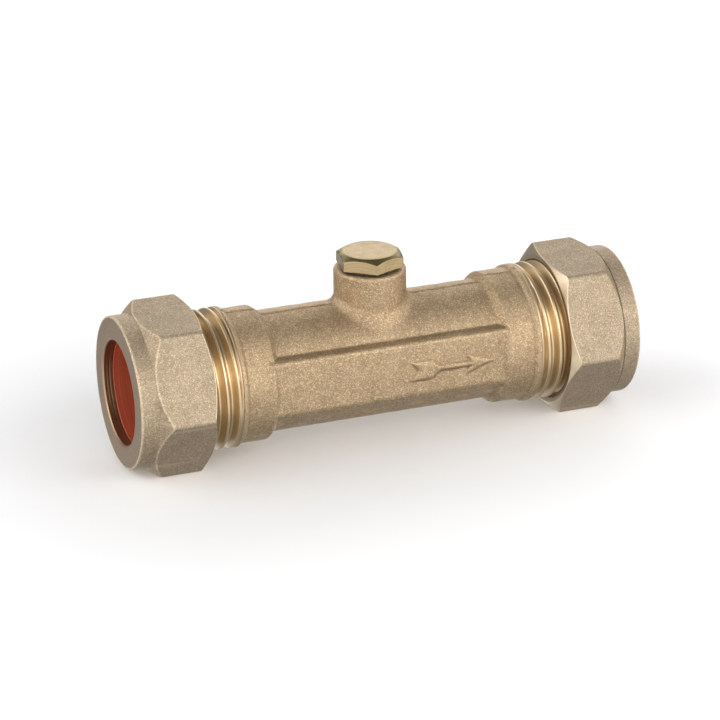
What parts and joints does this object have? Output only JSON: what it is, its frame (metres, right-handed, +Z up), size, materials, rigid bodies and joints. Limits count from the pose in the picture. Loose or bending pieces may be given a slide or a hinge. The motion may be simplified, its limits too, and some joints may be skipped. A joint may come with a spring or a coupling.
{
  "type": "double check valve",
  "caption": "In-line double check valve for 15 mm pipe: forged brass body with test plug, two compression nuts and olives, two spring check cartridges.",
  "frame": {"origin": "where the inlet pipe stops in its socket, on the flow axis", "axes": "+X along the flow from inlet to outlet, +Z up through the test boss"},
  "size_m": [0.078, 0.026, 0.0284],
  "materials": {
    "forged_brass": "as-forged, blasted",
    "nut_brass": "forged, blasted, with turned faces",
    "plug_brass": "bright machined",
    "olive_copper": "soft copper, turned",
    "seal_rubber": "matt EPDM",
    "cartridge_plastic": "moulded acetal",
    "poppet_plastic": "moulded acetal",
    "spring_steel": "drawn stainless wire"
  },
  "bodies": {
    "valve": {"valve_body": "forged_brass", "inlet_check_housing": "cartridge_plastic", "inlet_check_oring": "seal_rubber", "inlet_check_guide": "cartridge_plastic", "inlet_check_spring": "spring_steel", "inlet_circlip": "spring_steel", "outlet_check_housing": "cartridge_plastic", "outlet_check_oring": "seal_rubber", "outlet_check_guide": "cartridge_plastic", "outlet_check_spring": "spring_steel", "outlet_circlip": "spring_steel"},
    "inlet_olive_ring": {"inlet_olive": "olive_copper"},
    "inlet_nut_body": {"inlet_nut": "nut_brass"},
    "outlet_olive_ring": {"outlet_olive": "olive_copper"},
    "outlet_nut_body": {"outlet_nut": "nut_brass"},
    "plug_seal": {"test_plug_seal": "seal_rubber"},
    "plug": {"test_plug": "plug_brass"},
    "inlet_poppet": {"inlet_check_poppet": "poppet_plastic", "inlet_poppet_seal": "seal_rubber"},
    "outlet_poppet": {"outlet_check_poppet": "poppet_plastic", "outlet_poppet_seal": "seal_rubber"}
  },
  "joints": [
    {"name": "inlet_nut_travel", "type": "slide", "parent": "valve", "child": "inlet_olive_ring", "axis": [-1, 0, 0], "range_m": [-0.00046, 0.00726]},
    {"name": "inlet_nut_turn", "type": "hinge", "parent": "inlet_olive_ring", "child": "inlet_nut_body", "pos_m": [-0.0095, 0, 0], "axis": [-1, 0, 0], "range_deg": [-90, 1440]},
    {"name": "inlet_poppet_lift", "type": "slide", "parent": "valve", "child": "inlet_poppet", "axis": [1, 0, 0], "range_m": [0, 0.0024], "stiffness_N_per_m": 60, "springref_m": -0.002, "deforming": ["inlet_check_spring"]},
    {"name": "outlet_nut_travel", "type": "slide", "parent": "valve", "child": "outlet_olive_ring", "axis": [1, 0, 0], "range_m": [-0.00046, 0.00726]},
    {"name": "outlet_nut_turn", "type": "hinge", "parent": "outlet_olive_ring", "child": "outlet_nut_body", "pos_m": [0.0565, 0, 0], "axis": [1, 0, 0], "range_deg": [-90, 1440]},
    {"name": "outlet_poppet_lift", "type": "slide", "parent": "valve", "child": "outlet_poppet", "axis": [1, 0, 0], "range_m": [0, 0.0024], "stiffness_N_per_m": 60, "springref_m": -0.002, "deforming": ["outlet_check_spring"]},
    {"name": "plug_travel", "type": "slide", "parent": "valve", "child": "plug_seal", "axis": [0, 0, 1], "range_m": [0, 0.005]},
    {"name": "plug_turn", "type": "hinge", "parent": "plug_seal", "child": "plug", "pos_m": [0.0235, 0, 0.014], "axis": [0, 0, 1], "range_deg": [0, 1800]}
  ],
  "couplings": [
    {"joint": "inlet_nut_travel", "follows": "inlet_nut_turn", "m_per_rad": 0.00028871},
    {"joint": "outlet_nut_travel", "follows": "outlet_nut_turn", "m_per_rad": 0.00028871},
    {"joint": "plug_turn", "follows": "plug_travel", "rad_per_m": 6283.2}
  ]
}
